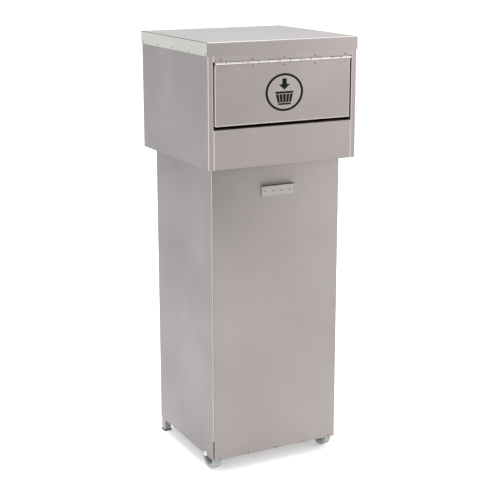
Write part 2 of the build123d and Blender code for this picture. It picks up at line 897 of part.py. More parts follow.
def lever_grip():
    """The rubber grip over the end of the lever."""
    length = grip_length + lever_gap
    spot = Pos(lever_bar + lever_gap, lever_length - grip_length + length / 2, 0)
    grip = Rot(X=-90) * Cylinder(grip_r, length)
    grip = fillet(grip.edges().filter_by(GeomType.CIRCLE), grip_r / 3)
    hole = block(0, lever_bar, lever_length - grip_length, lever_length, -grip_core / 2, grip_core / 2)
    return lever_frame(spot * grip - hole)


# ---- back door ----
def back_door():
    """The door: a shallow tray over the opening at the back of the body."""
    half = sheet / 2
    y_face = door_back - half
    line = [
        (-door_half + half, door_front),
        (-door_half + half, y_face),
        (door_half - half, y_face),
        (door_half - half, door_front),
    ]
    door = folded(line, door_low, door_top)
    inner = door_half - half
    door += block(-inner, inner, door_front, y_face, door_low, door_low + sheet)
    door += block(-inner, inner, door_front, y_face, door_top - sheet, door_top)
    return drill(door, back, [(latch_x, door_back, latch_height)], radius=latch_sleeve_r)


def hinge_heights():
    """The heights at which the two halves of each door hinge meet."""
    return spread(door_low + door_hinge_inset, door_top - door_hinge_inset, door_hinge_count)


def door_barrels():
    """The upper barrel of each hinge, welded to the door's edge."""
    pieces = []
    for z in hinge_heights():
        barrel = rod(up, (door_axis_x, door_axis_y, z + door_barrel_gap), door_barrel_r, door_barrel_length)
        barrel -= rod(up, (door_axis_x, door_axis_y, z), door_pin_r + pivot_clearance, door_barrel_length)
        weld = block(door_axis_x + door_pin_r + 1, -door_half, door_axis_y - 1, door_axis_y + 1,
                     z + door_barrel_gap, z + door_barrel_gap + door_barrel_length)
        pieces.append(barrel + weld)
    return pieces


def body_barrels():
    """The lower barrel of each hinge, on a block welded to the back of the body."""
    pieces = []
    for z in hinge_heights():
        low = z - door_barrel_length
        barrel = rod(up, (door_axis_x, door_axis_y, low), door_barrel_r, door_barrel_length)
        foot = block(door_axis_x - door_barrel_r, door_axis_x + door_barrel_r - 1, body_back, door_axis_y,
                     low, z)
        bore = rod(up, (door_axis_x, door_axis_y, low), door_pin_r, door_barrel_length)
        pieces.append(barrel + foot - bore)
    return pieces


def door_pins():
    """The pin of each door hinge, fixed in the lower barrel."""
    height = 2 * door_barrel_length - door_pin_drop
    return [
        rod(up, (door_axis_x, door_axis_y, z - door_barrel_length), door_pin_r, height)
        for z in hinge_heights()
    ]


def latch_sleeve():
    """The flanged sleeve in the door that the latch turns in."""
    spot = (latch_x, door_back, latch_height)
    sleeve = rod(front, spot, latch_sleeve_r, 2 * sheet)
    sleeve += rod(back, spot, latch_flange_r, latch_flange)
    return drill(sleeve, back, [spot], radius=latch_shaft_r + pivot_clearance)


def door_latch():
    """The latch: a turning knob outside, and a cam inside that hangs down while it is open."""
    x = latch_x
    z = latch_height
    cam_y = back_inner - cam_back_gap
    start = cam_y - cam_thick
    knob_y = door_back + latch_flange + door_gap
    part = rod(back, (x, start, z), latch_shaft_r, knob_y - start)
    part += block(x - cam_width / 2, x + cam_width / 2, start, cam_y, z - cam_length, z + cam_width / 2)
    part += rod(back, (x, knob_y, z), knob_r, knob_height / 3)
    part += block(x - knob_bar / 2, x + knob_bar / 2, knob_y, knob_y + knob_height, z - knob_r, z + knob_r)
    return part


# ---- rivets ----
def hood_rivets():
    """The rivets of the lid strips, the header panel and the back of the hood."""
    pieces = []
    for side in (-1, 1):
        for y in lid_rivet_ys:
            pieces.append(rivet((side, 0, 0), (side * lid_half, y, lid_rivet_z), 2 * sheet))
    pieces += [rivet(front, spot, sheet + leaf) for spot in header_spots]
    pieces += [rivet(back, spot, 2 * sheet) for spot in back_spots]
    return pieces


def body_rivets():
    """The rivets round the front of the body and in the pull handle."""
    pieces = [rivet(front, spot, 2 * sheet) for spot in low_row]
    pieces += [rivet(front, spot, 2 * sheet + post_wall) for spot in left_column + right_column]
    pieces += [rivet(front, spot, handle_sheet + sheet) for spot in handle_row]
    return pieces


def flap_rivets():
    """The rivets that hold the flap to its hinge leaf."""
    return [rivet(front, spot, sheet + leaf) for spot in flap_spots]


# ---- the nodes ----
save("lid_top", lid_top())
save("lid_trim_left", lid_trim(-1))
save("lid_trim_right", lid_trim(1))
save("hood_side_left", hood_side(-1))
save("hood_side_right", hood_side(1))
save("hood_back_panel", hood_back_panel())
save("header_panel", header_panel())
save("lower_front_panel", lower_front_panel())
save("hood_ring", hood_ring())
save("rear_rail", rear_rail())
save("stop_buffers", *stop_buffers())
save("flap_hinge_fixed_leaf", fixed_leaf())
save("flap_hinge_pin", hinge_pin())
save("flap_pads", *flap_pads())
save("hood_rivets", *hood_rivets())

save("flap_panel", flap_panel())
save("flap_hinge_moving_leaf", moving_leaf())
save("flap_sign", flap_sign())
save("flap_brackets", *flap_brackets())
save("flap_rivets", *flap_rivets())

save("body_side_left", body_side(-1))
save("body_side_right", body_side(1))
save("body_front_panel", body_front_panel())
save("back_top_panel", back_top_panel())
save("base_pan", base_pan())
save("front_posts", *corner_posts(front_inner, pan_top))
save("back_posts", *corner_posts(back_inner - post_side, foot_height))
save("foot_caps", *foot_caps())
save("pull_handle", pull_handle())
save("body_rivets", *body_rivets())

save("axle", axle())
save("axle_caps", *axle_caps())
save("axle_spacers", *axle_spacers())
for side_name, side_sign in (("left", -1), ("right", 1)):
    save(f"tyre_{side_name}", tyre(side_sign))
    save(f"wheel_hub_{side_name}", wheel_hub(side_sign))

save("inner_bin", inner_bin())
save("bin_handle", bin_handle())
save("chute_left", chute_side(-1))
save("chute_right", chute_side(1))
save("chute_front", chute_front())
save("rear_deflector", rear_deflector())

save("press_plate", press_plate())
save("press_ribs", *press_ribs())
save("press_shaft", press_shaft())
save("bearing_blocks", *bearing_blocks())
save("return_springs", *return_springs())
save("press_lever", press_lever())
save("lever_pin", lever_pin())
save("lever_grip", lever_grip())

save("back_door", back_door())
save("door_hinge_door_barrels", *door_barrels())
save("door_hinge_body_barrels", *body_barrels())
save("door_hinge_pins", *door_pins())
save("latch_sleeve", latch_sleeve())
save("door_latch", door_latch())
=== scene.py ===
import math

import bmesh
import bpy
from mathutils import Matrix, Vector


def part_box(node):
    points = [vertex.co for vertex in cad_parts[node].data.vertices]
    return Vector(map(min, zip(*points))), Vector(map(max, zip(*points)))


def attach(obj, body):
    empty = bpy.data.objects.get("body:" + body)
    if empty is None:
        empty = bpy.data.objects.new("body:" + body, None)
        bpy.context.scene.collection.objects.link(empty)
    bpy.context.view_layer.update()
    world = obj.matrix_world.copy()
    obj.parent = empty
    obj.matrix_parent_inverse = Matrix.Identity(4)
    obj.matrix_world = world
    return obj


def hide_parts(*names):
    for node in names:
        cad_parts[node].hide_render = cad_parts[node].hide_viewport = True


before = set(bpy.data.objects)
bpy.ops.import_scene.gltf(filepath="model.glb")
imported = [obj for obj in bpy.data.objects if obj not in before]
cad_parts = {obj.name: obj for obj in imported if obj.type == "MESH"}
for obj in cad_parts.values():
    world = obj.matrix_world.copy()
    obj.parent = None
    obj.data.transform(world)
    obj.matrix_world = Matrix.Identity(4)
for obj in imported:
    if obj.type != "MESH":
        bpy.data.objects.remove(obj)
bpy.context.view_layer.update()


# ---- body: two folded sides ----
# Each side is one sheet of 1.5 mm stainless, satin finished at the mill and folded in at the front and the
# back on a press brake. The grain runs up the sheet. It has a faint mottle, its folds are painted lighter as
# a painted highlight, and a film of dust makes it a little paler near the floor.
def add(tree, kind, sockets=None, **settings):
    """A new node with its settings, whose sockets are given a value or linked to an output."""
    made = tree.nodes.new(kind)
    for label, value in settings.items():
        setattr(made, label, value)
    for label, value in (sockets or {}).items():
        if isinstance(value, bpy.types.NodeSocket):
            tree.links.new(value, made.inputs[label])
        else:
            made.inputs[label].default_value = value
    return made


def finish(name, **constants):
    """A new material, its tree and its shader, with the values that are the same all over."""
    material = bpy.data.materials.new(name)
    material.use_nodes = True
    shader = material.node_tree.nodes["Principled BSDF"]
    for label, value in constants.items():
        shader.inputs[label.replace("_", " ")].default_value = value
    return material, material.node_tree, shader


def noise(tree, place, scale, detail=3.0, stretch=(1, 1, 1)):
    """Noise of about 1/scale metres, drawn out along an axis by a small stretch there."""
    drawn_out = add(tree, "ShaderNodeMapping", {"Vector": place, "Scale": stretch}).outputs[0]
    sockets = {"Vector": drawn_out, "Scale": scale, "Detail": detail}
    return add(tree, "ShaderNodeTexNoise", sockets).outputs[0]


def mixed(tree, *shares):
    """The sum of some values, each times its share."""
    total = 0.0
    for value, share in shares:
        step = add(tree, "ShaderNodeMath", {0: value, 1: share, 2: total}, operation="MULTIPLY_ADD")
        total = step.outputs[0]
    return total


def tone(tree, value, *stops):
    """Colours at places between 0 and 1 of a value."""
    ramp = add(tree, "ShaderNodeValToRGB", {0: value})
    while len(ramp.color_ramp.elements) < len(stops):
        ramp.color_ramp.elements.new(0.5)
    for element, (place, colour) in zip(ramp.color_ramp.elements, stops):
        element.position = place
        element.color = (*colour, 1)
    return ramp.outputs[0]


def remap(tree, value, low, high, start=0.0, stop=1.0, **settings):
    """A value between low and high moved to between start and stop."""
    sockets = {"Value": value, "From Min": low, "From Max": high, "To Min": start, "To Max": stop}
    return add(tree, "ShaderNodeMapRange", sockets, **settings).outputs[0]


def multiplied(tree, value, share):
    """A value times another."""
    return add(tree, "ShaderNodeMath", {0: value, 1: share}, operation="MULTIPLY").outputs[0]


def scaled(tree, colour, factor):
    """A colour made lighter or darker by a factor that varies."""
    return add(tree, "ShaderNodeVectorMath", {0: colour, "Scale": factor}, operation="SCALE").outputs[0]


def blend(tree, share, colour, other):
    """A colour that turns into another as the share goes from 0 to 1."""
    return add(tree, "ShaderNodeMix", {0: share, 6: colour, 7: other}, data_type="RGBA").outputs[2]


def object_place(tree):
    """The place on the piece in metres, which stays the same as the piece moves."""
    return add(tree, "ShaderNodeTexCoord").outputs["Object"]


def paint(tree, shader, colour, roughness):
    """Link a colour and a roughness to a shader."""
    tree.links.new(colour, shader.inputs["Base Color"])
    tree.links.new(roughness, shader.inputs["Roughness"])


def relief(tree, shader, height, depth):
    """Bumps of a given depth in metres."""
    bump = add(tree, "ShaderNodeBump", {"Height": height, "Distance": depth, "Strength": 1.0})
    tree.links.new(bump.outputs[0], shader.inputs["Normal"])


def shade(colour, factor):
    """A colour made lighter or darker."""
    return tuple(min(1.0, channel * factor) for channel in colour)


def satin_steel(name, colour, stretch, roughness=0.46, contrast=0.08, fold_highlight=1.8, edge=None, hood_shade=None,
                front=None, dusty=0.05):
    """Satin stainless: grain lines, a mottle, slow changes of tone, dust low down, and folds painted lighter
    as a painted highlight.

    edge is the axis that raw cut edges look along and their colour. dull is a low and a high level between
    which the left side darkens by a share, a painted shadow of the hood. front is the colour painted on the
    faces that look forwards, a painted shade. fold is how much lighter the bends are painted, a painted
    highlight.
    """
    material, tree, shader = finish(name, Metallic=0.75, Specular_IOR_Level=0.5)
    coordinates = add(tree, "ShaderNodeTexCoord")
    place = coordinates.outputs["Object"]
    grain = noise(tree, place, 700.0, 2.0, stretch)
    mottle = noise(tree, place, 210.0, 4.0)
    slow = noise(tree, place, 4.0, 2.0)
    cast = mixed(tree, (grain, 0.22), (mottle, 0.34), (slow, 0.44))
    height = add(tree, "ShaderNodeSeparateXYZ", {0: place}).outputs["Z"]
    clean = tone(tree, cast, (0.36, shade(colour, 1 - contrast)), (0.64, shade(colour, 1 + contrast)))
    colours = scaled(tree, clean, remap(tree, height, 0.0, dust_top, 1 + dusty, 1.0))
    facing = add(tree, "ShaderNodeVectorMath", {0: coordinates.outputs["Normal"]}, operation="ABSOLUTE")
    facing = add(tree, "ShaderNodeSeparateXYZ", {0: facing.outputs[0]}).outputs
    flattest = add(tree, "ShaderNodeMath", {0: facing[0], 1: facing[1]}, operation="MAXIMUM")
    flattest = add(tree, "ShaderNodeMath", {0: flattest.outputs[0], 1: facing[2]}, operation="MAXIMUM")
    # Painted shade: faces that look forwards take a darker colour of their own.
    if front:
        colours = blend(tree, remap(tree, facing[1], 0.9, 0.98), colours, (*front, 1))
    # Painted shadow of the hood: the left side darkens towards the underside of the hood.
    if hood_shade:
        across = add(tree, "ShaderNodeSeparateXYZ", {0: place}).outputs["X"]
        aside = remap(tree, across, hood_shade_right, hood_shade_left)
        raised = remap(tree, height, hood_shade[0], hood_shade[1], interpolation_type="SMOOTHSTEP")
        corner = multiplied(tree, aside, raised)
        colours = scaled(tree, colours, remap(tree, corner, 0.0, 1.0, 1.0, 1.0 - hood_shade[2]))
    # Painted highlight: the bends, where the facets turn, are painted lighter.
    painted_bend_highlight = remap(tree, flattest.outputs[0], 0.995, 0.93)
    colours = blend(tree, painted_bend_highlight, colours, (*shade(colour, fold_highlight), 1))
    if edge:
        colours = blend(tree, remap(tree, facing[edge[0]], 0.9, 0.99), colours, (*edge[1], 1))
    paint(tree, shader, colours, remap(tree, cast, 0.35, 0.65, roughness + 0.07, roughness - 0.05))
    relief(tree, shader, mixed(tree, (grain, 0.012), (mottle, 0.01), (slow, 0.6)), 0.0012)
    return material


def cover(material, *nodes):
    """Give these CAD nodes a finish."""
    for name in nodes:
        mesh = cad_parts[name].data
        mesh.materials.clear()
        mesh.materials.append(material)


dust_top = 0.55
hood_shade_left = -0.25
hood_shade_right = 0.2
up_grain = (1.0, 1.0, 0.02)
cross_grain = (0.02, 1.0, 1.0)
side_steel = satin_steel("body_side_steel", (0.25, 0.233, 0.231), up_grain, dusty=0.26)
cover(side_steel, "body_side_left", "body_side_right")

# ---- body: front panel ----
# A flat sheet of the same stainless laid over the folded edges of both sides and riveted to them. It has a
# warmer cast than the sides. Its colour is painted darker on the left just under the hood, a painted shadow
# of the hood.
under_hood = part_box("hood_ring")[0].z
hood_shadow_band = (under_hood - 0.42, under_hood + 0.02, 0.36)
front_steel = satin_steel("body_front_steel", (0.278, 0.254, 0.244), up_grain, contrast=0.05,
                          hood_shade=hood_shadow_band, dusty=0.12)
cover(front_steel, "body_front_panel")

# ---- body: base pan, corner posts, back strip and hood floor ----
# Plain mill-finish sheet and square tube that nobody is meant to look at. They are folded, cut
# and spot welded, and left with the grey cast and the darker clouds of the rolled surface.
mill_steel = satin_steel("mill_steel", (0.27, 0.26, 0.255), up_grain, roughness=0.52, contrast=0.16)
cover(mill_steel, "base_pan", "front_posts", "back_top_panel", "hood_ring", "rear_rail")
tube_steel = satin_steel("square_tube_steel", (0.30, 0.285, 0.28), up_grain, roughness=0.45, contrast=0.12)
cover(tube_steel, "back_posts")

# ---- feet ----
# The back posts stand on injection-moulded caps of dark polypropylene, pushed into the tube.
# The moulding has a fine spark-eroded texture, and grit from the floor has greyed its lower edge.
foot_plastic, tree, shader = finish("foot_cap_plastic", Specular_IOR_Level=0.4)
place = object_place(tree)
spark = noise(tree, place, 1800.0, 2.0)
scuff = noise(tree, place, 160.0, 5.0)
foot_height = add(tree, "ShaderNodeSeparateXYZ", {0: place}).outputs["Z"]
grit_top = 0.006
grit = remap(tree, foot_height, 0.0, grit_top, 0.25, 0.0)
wear = mixed(tree, (scuff, 1.0), (grit, 1.0))
black = tone(tree, wear, (0.45, (0.014, 0.009, 0.010)), (0.85, (0.10, 0.08, 0.075)))
paint(tree, shader, black, mixed(tree, (wear, 0.4), (spark, 0.4)))
relief(tree, shader, spark, 0.00015)
cover(foot_plastic, "foot_caps")

# ---- axle, spacers and caps ----
# A 12 mm bright-drawn bar through both sides of the body, with steel tube spacers that hold the
# wheels apart, and a domed zinc-plated push-on cap that grips each end.
def turned(name, outline, axis, spot, steps=56, sharp=32):
    """A closed outline of (along, radius) points, turned about an axis through a spot."""
    axis = Vector(axis)
    out = axis.orthogonal().normalized()
    across = axis.cross(out)
    shape = bmesh.new()
    rings = []
    for step in range(steps):
        angle = 2 * math.pi * step / steps
        spoke = out * math.cos(angle) + across * math.sin(angle)
        rings.append([shape.verts.new(Vector(spot) + axis * a + spoke * r) for a, r in outline])
    for ring, following in zip(rings, rings[1:] + rings[:1]):
        for i in range(len(outline)):
            j = (i + 1) % len(outline)
            if outline[i][1] > 1e-7 or outline[j][1] > 1e-7:
                shape.faces.new((ring[i], ring[j], following[j], following[i]))
    bmesh.ops.remove_doubles(shape, verts=shape.verts, dist=1e-7)
    bmesh.ops.dissolve_degenerate(shape, edges=shape.edges, dist=1e-8)
    return as_piece(name, shape, sharp)


def as_piece(name, shape, sharp=32):
    """A bmesh made into an object at the origin, smooth except at its sharp edges."""
    bmesh.ops.recalc_face_normals(shape, faces=shape.faces)
    mesh = bpy.data.meshes.new(name)
    shape.to_mesh(mesh)
    shape.free()
    mesh.shade_smooth()
    mesh.set_sharp_from_angle(angle=math.radians(sharp))
    piece = bpy.data.objects.new(name, mesh)
    bpy.context.scene.collection.objects.link(piece)
    return piece


def place_piece(piece, material, body, slot, *replaced):
    """Paint a piece, let it ride a body, and let it stand for the CAD nodes it replaces."""
    piece.data.materials.clear()
    piece.data.materials.append(material)
    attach(piece, body)
    if replaced:
        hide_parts(*replaced)


def arc(centre_a, centre_r, radius, start, stop, count):
    """Points of an arc in an outline, with angles in degrees from the axis."""
    points = []
    for i in range(count + 1):
        angle = math.radians(start + (stop - start) * i / count)
        points.append((centre_a + radius * math.cos(angle), centre_r + radius * math.sin(angle)))
    return points


def quarter_round(rise, radius, count):
    """Points of a dome's outline, from its top on the axis out to its rim."""
    step = math.pi / 2 / count
    return [(rise * math.cos(i * step), radius * math.sin(i * step)) for i in range(count + 1)]


def plated_steel(name, colour, roughness):
    """Bright zinc plate: smooth, with the cloudy bloom that handling and damp leave on it."""
    material, tree, shader = finish(name, Metallic=1.0)
    place = object_place(tree)
    bloom = noise(tree, place, 60.0, 5.0)
    fine = noise(tree, place, 900.0, 2.0)
    cloud = mixed(tree, (bloom, 0.7), (fine, 0.3))
    clouded = tone(tree, cloud, (0.35, shade(colour, 0.82)), (0.68, shade(colour, 1.1)))
    paint(tree, shader, clouded, remap(tree, cloud, 0.3, 0.7, roughness, roughness + 0.16))
    relief(tree, shader, fine, 0.00006)
    return material


bright_zinc = plated_steel("bright_zinc", (0.72, 0.74, 0.75), 0.22)
cover(bright_zinc, "axle", "axle_spacers")
cap_low, cap_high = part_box("axle_caps")
cap_radius = (cap_high.z - cap_low.z) / 2
axle_spot = Vector((0.0, (cap_low.y + cap_high.y) / 2, (cap_low.z + cap_high.z) / 2))
side_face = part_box("body_side_right")[1].x
cap_rise = cap_high.x - side_face
for side, side_name in ((-1, "left"), (1, "right")):
    dome = quarter_round(cap_rise, cap_radius, 12)
    skirt = [(0.0, cap_radius * 0.97), (0.0, 0.0)]
    cap_spot = axle_spot + Vector((side * side_face, 0, 0))
    cap = turned("axle_cap_" + side_name, dome + skirt, (side, 0, 0), cap_spot)
    place_piece(cap, bright_zinc, "cabinet", "machine_steel", "axle_caps")

# ---- wheels: tyres ----
# Solid non-marking grey rubber, moulded onto the hub, with rounded shoulders and two shallow
# grooves round the tread. The tread is scuffed and holds a film of floor dust.
tyre_rubber, tree, shader = finish("tyre_rubber", Specular_IOR_Level=0.35, Sheen_Weight=0.08)
place = object_place(tree)
dust = noise(tree, place, 90.0, 6.0)
pores = noise(tree, place, 1400.0, 2.0)
dust_film_and_lip_shade = mixed(tree, (dust, 0.75), (pores, 0.25))
grey = tone(tree, dust_film_and_lip_shade, (0.35, (0.25, 0.26, 0.265)), (0.68, (0.40, 0.41, 0.415)))
paint(tree, shader, grey, mixed(tree, (dust_film_and_lip_shade, 0.9)))
relief(tree, shader, dust_film_and_lip_shade, 0.0003)
hub_low, hub_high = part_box("wheel_hub_left")
rim_radius = (hub_high.z - hub_low.z) / 2
shoulder = 0.005
groove_from_middle = 0.0035
groove_half = 0.0009
groove_floor_half = 0.0005
groove_depth = 0.0009
for side in ("left", "right"):
    low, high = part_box("tyre_" + side)
    radius = (high.z - low.z) / 2
    half = (high.x - low.x) / 2
    spot = (low + high) / 2
    outline = [(-half, rim_radius), (-half, radius - shoulder)]
    outline += arc(-half + shoulder, radius - shoulder, shoulder, 180, 90, 6)[1:]
    for groove in (-groove_from_middle, groove_from_middle):
        floor_radius = radius - groove_depth
        outline += [(groove - groove_half, radius), (groove - groove_floor_half, floor_radius)]
        outline += [(groove + groove_floor_half, floor_radius), (groove + groove_half, radius)]
    outline += arc(half - shoulder, radius - shoulder, shoulder, 90, 0, 6)
    outline += [(half, rim_radius)]
    tyre = turned("tyre_ring_" + side, outline, (1, 0, 0), spot, steps=72)
    place_piece(tyre, tyre_rubber, "wheel_" + side, "grey_tyre", "tyre_" + side)

# ---- wheels: hubs ----
# Moulded grey polypropylene with a deep ring-shaped recess in each face, a plain bore, and
# twelve thin ribs across the recess that keep the web stiff.
def sizes(label, **sockets):
    """An empty Geometry Nodes tree with a named input for each size."""
    tree = bpy.data.node_groups.new(label, "GeometryNodeTree")
    tree.interface.new_socket("Geometry", in_out="INPUT", socket_type="NodeSocketGeometry")
    for name, kind in sockets.items():
        tree.interface.new_socket(name.replace("_", " "), in_out="INPUT", socket_type="NodeSocket" + kind)
    tree.interface.new_socket("Geometry", in_out="OUTPUT", socket_type="NodeSocketGeometry")
    return tree, tree.nodes.new("NodeGroupInput").outputs, tree.nodes.new("NodeGroupOutput")


def close_tree(tree, end, geometry, material):
    """Realize what a tree placed, give it its finish, and hand it out."""
    real = add(tree, "GeometryNodeRealizeInstances", {"Geometry": geometry})
    painted = add(tree, "GeometryNodeSetMaterial", {"Geometry": real.outputs[0], "Material": material})
    tree.links.new(painted.outputs[0], end.inputs[0])


def instanced(tree, points, thing, way=None, axis="Z", **sockets):
    """A thing on each point, with its axis turned to the point's way where one is given."""
    sockets.update(Points=points, Instance=thing)
    if way is not None:
        turn = add(tree, "FunctionNodeAlignRotationToVector", {"Vector": way}, axis=axis)
        sockets["Rotation"] = turn.outputs[0]
    return add(tree, "GeometryNodeInstanceOnPoints", sockets).outputs[0]


def stored_way(tree):
    """The way that each point of a row of points looks."""
    sockets = {"Name": "way"}
    return add(tree, "GeometryNodeInputNamedAttribute", sockets, data_type="FLOAT_VECTOR").outputs[0]


def shape_of(tree, pattern):
    """The mesh of a pattern object."""
    return add(tree, "GeometryNodeObjectInfo", {"Object": pattern}).outputs["Geometry"]


def grown(name, tree, base, **values):
    """The plain mesh that a tree makes on a base mesh, as a piece with no modifier."""
    holder = bpy.data.objects.new(name + "_base", base)
    bpy.context.scene.collection.objects.link(holder)
    modifier = holder.modifiers.new("layout", "NODES")
    modifier.node_group = tree
    for item in tree.interface.items_tree:
        label = item.name.replace(" ", "_")
        if item.in_out == "INPUT" and label in values:
            modifier[item.identifier] = values[label]
    view = bpy.context.evaluated_depsgraph_get()
    evaluated = holder.evaluated_get(view)
    mesh = bpy.data.meshes.new_from_object(evaluated, preserve_all_data_layers=True, depsgraph=view)
    bpy.data.objects.remove(holder)
    mesh.name = name
    piece = bpy.data.objects.new(name, mesh)
    bpy.context.scene.collection.objects.link(piece)
    return piece


rib_tree, given, end = sizes("hub_rib_ring", Count="Int", Radius="Float", Rib="Vector", Depth="Float",
                             Finish="Material")
circle = {"Vertices": given["Count"], "Radius": given["Radius"]}
spokes = add(rib_tree, "GeometryNodeMeshCircle", circle).outputs[0]
rib_box = add(rib_tree, "GeometryNodeMeshCube", {"Size": given["Rib"]}).outputs[0]
outward = add(rib_tree, "GeometryNodeInputPosition").outputs[0]
ribs = instanced(rib_tree, spokes, rib_box, outward, "X")
both_faces = add(rib_tree, "GeometryNodeJoinGeometry")
for sign in (1.0, -1.0):
    shift = add(rib_tree, "ShaderNodeCombineXYZ", {"Z": multiplied(rib_tree, given["Depth"], sign)})
    moved = {"Geometry": ribs, "Translation": shift.outputs[0]}
    face = add(rib_tree, "GeometryNodeTransform", moved)
    rib_tree.links.new(face.outputs[0], both_faces.inputs[0])
upright = {"Geometry": both_faces.outputs[0], "Rotation": (0, math.pi / 2, 0)}
to_axle = add(rib_tree, "GeometryNodeTransform", upright)
close_tree(rib_tree, end, to_axle.outputs[0], given["Finish"])

hub_plastic, tree, shader = finish("hub_plastic", Specular_IOR_Level=0.45)
place = object_place(tree)
flow = noise(tree, place, 45.0, 3.0)
grit = noise(tree, place, 1100.0, 3.0)
cast = mixed(tree, (flow, 0.6), (grit, 0.4))
grey = tone(tree, cast, (0.35, (0.13, 0.14, 0.145)), (0.66, (0.19, 0.20, 0.205)))
paint(tree, shader, grey, mixed(tree, (cast, 0.75)))
relief(tree, shader, grit, 0.0001)
bore_radius = 0.00605
recess_in = 0.0148
recess_out = 0.029
recess_depth = 0.004
rib_count = 12
rib_size = (0.0145, 0.0016, 0.003)
rib_ring_radius = 0.0218
for side in ("left", "right"):
    low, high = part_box("wheel_hub_" + side)
    spot = (low + high) / 2
    half = (high.x - low.x) / 2
    web = half - 0.002
    recess = -web + recess_depth
    outline = [(-half, bore_radius), (-half, 0.0125), (-half + 0.0015, 0.014)]
    outline += [(recess, recess_in), (recess, recess_out), (-web + 0.0005, 0.0302)]
    outline += [(-web, 0.031), (-web, rim_radius - 0.0015), (-web + 0.001, rim_radius)]
    outline += [(-a, r) for a, r in reversed(outline)]
    hub = turned("hub_" + side, outline, (1, 0, 0), spot, steps=72)
    place_piece(hub, hub_plastic, "wheel_" + side, "wheel_plastic", "wheel_hub_" + side)
    ring = grown("hub_ribs_" + side, rib_tree, bpy.data.meshes.new("none"), Count=rib_count,
                 Radius=rib_ring_radius, Rib=rib_size, Depth=web - 0.003, Finish=hub_plastic)
    ring.data.transform(Matrix.Translation(spot))
    place_piece(ring, hub_plastic, "wheel_" + side, "wheel_plastic")

# ---- pull handle ----
# An angle folded from 3 mm stainless and riveted to the front. Its face is buffed brighter than the panel.
# The top of its lip is painted dark brown, a painted shade for the dark that the hood casts and reflects on
# it.
handle_steel = satin_steel("handle_steel", (0.285, 0.28, 0.27), cross_grain, roughness=0.38)
tree = handle_steel.node_tree
shader = tree.nodes["Principled BSDF"]
buffed = shader.inputs["Base Color"].links[0].from_socket
lip_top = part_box("pull_handle")[1].z
coordinates = add(tree, "ShaderNodeTexCoord").outputs
lip_height = add(tree, "ShaderNodeSeparateXYZ", {0: coordinates["Object"]}).outputs["Z"]
lip_up = add(tree, "ShaderNodeSeparateXYZ", {0: coordinates["Normal"]}).outputs["Z"]
# Painted shade: the upward faces at the top of the lip are painted dark brown.
near_top = remap(tree, lip_height, lip_top - 0.0012, lip_top - 0.0004)
dust_film_and_lip_shade = multiplied(tree, near_top, remap(tree, lip_up, 0.75, 0.98))
blotch = noise(tree, coordinates["Object"], 190.0, 5.0)
brown = tone(tree, blotch, (0.3, (0.045, 0.03, 0.022)), (0.75, (0.13, 0.09, 0.065)))
tree.links.new(blend(tree, dust_film_and_lip_shade, buffed, brown), shader.inputs["Base Color"])
cover(handle_steel, "pull_handle")

# ---- body rivets ----
# Domed rivets of copper-plated steel, pulled through the front panel, the side folds and the
# posts, along the lower edge, up both sides, and in the pull handle. They have tarnished brown,
# but for the columns up both sides and the flap's end rivets, whose copper has worn off.
def rivet_places(node):
    """The spot under each rivet's head, and the way its head points, in the same order each run."""
    shape = bmesh.new()
    shape.from_mesh(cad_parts[node].data)
    bmesh.ops.remove_doubles(shape, verts=shape.verts, dist=1e-6)
    waiting = set(shape.verts)
    places = []
    while waiting:
        group = [waiting.pop()]
        for vert in group:
            for edge in vert.link_edges:
                other = edge.other_vert(vert)
                if other in waiting:
                    waiting.remove(other)
                    group.append(other)
        low = [min(v.co[i] for v in group) for i in range(3)]
        high = [max(v.co[i] for v in group) for i in range(3)]
        middle = [(a + b) / 2 for a, b in zip(low, high)]
        axis = max((0, 1), key=lambda i: abs(high[i] - low[i] - (high[2] - low[2])))
        sign = 1.0 if middle[axis] > 0 else -1.0
        spot = list(middle)
        spot[axis] = (high[axis] if sign > 0 else low[axis]) - sign * rivet_rise
        way = [0.0, 0.0, 0.0]
        way[axis] = sign
        places.append((spot, way))
    shape.free()
    return sorted(places)


def row_of_points(places):
    """A mesh with one vertex for each place, and an attribute for the way it points."""
    mesh = bpy.data.meshes.new("places")
    mesh.from_pydata([spot for spot, way in places], [], [])
    ways = mesh.attributes.new("way", "FLOAT_VECTOR", "POINT")
    ways.data.foreach_set("vector", [c for spot, way in places for c in way])
    return mesh


rivet_rise = 0.0013
rivet_radius = 0.0028
rivet_outline = quarter_round(rivet_rise, rivet_radius, 6)
rivet_outline += [(0.0, 0.0016), (-0.003, 0.0016), (-0.003, 0.0024), (-0.0041, 0.002), (-0.0041, 0.0)]
rivet_shape = turned("rivet_pattern", rivet_outline, (0, 0, 1), (0, 0, 0), steps=20, sharp=40)

rivet_tree, given, end = sizes("dome_rivets", Rivet="Object", Smallest="Float", Seed="Int", Finish="Material")
between = {2: given["Smallest"], 3: 1.0, "Seed": given["Seed"]}
draw = add(rivet_tree, "FunctionNodeRandomValue", between, data_type="FLOAT").outputs[1]
rivet_mesh = shape_of(rivet_tree, given["Rivet"])
placed = instanced(rivet_tree, given["Geometry"], rivet_mesh, stored_way(rivet_tree), Scale=draw)
close_tree(rivet_tree, end, placed, given["Finish"])


def rivet_metal(name, dark, light):
    """Tarnished metal that varies from rivet to rivet."""
    material, tree, shader = finish(name, Metallic=0.75)
    place = object_place(tree)
    tarnish = noise(tree, place, 420.0, 5.0)
    batch = noise(tree, place, 9.0, 1.0)
    age = mixed(tree, (tarnish, 0.6), (batch, 0.4))
    paint(tree, shader, tone(tree, age, (0.38, dark), (0.62, light)), mixed(tree, (age, 0.9)))
    relief(tree, shader, tarnish, 0.0001)
    return material


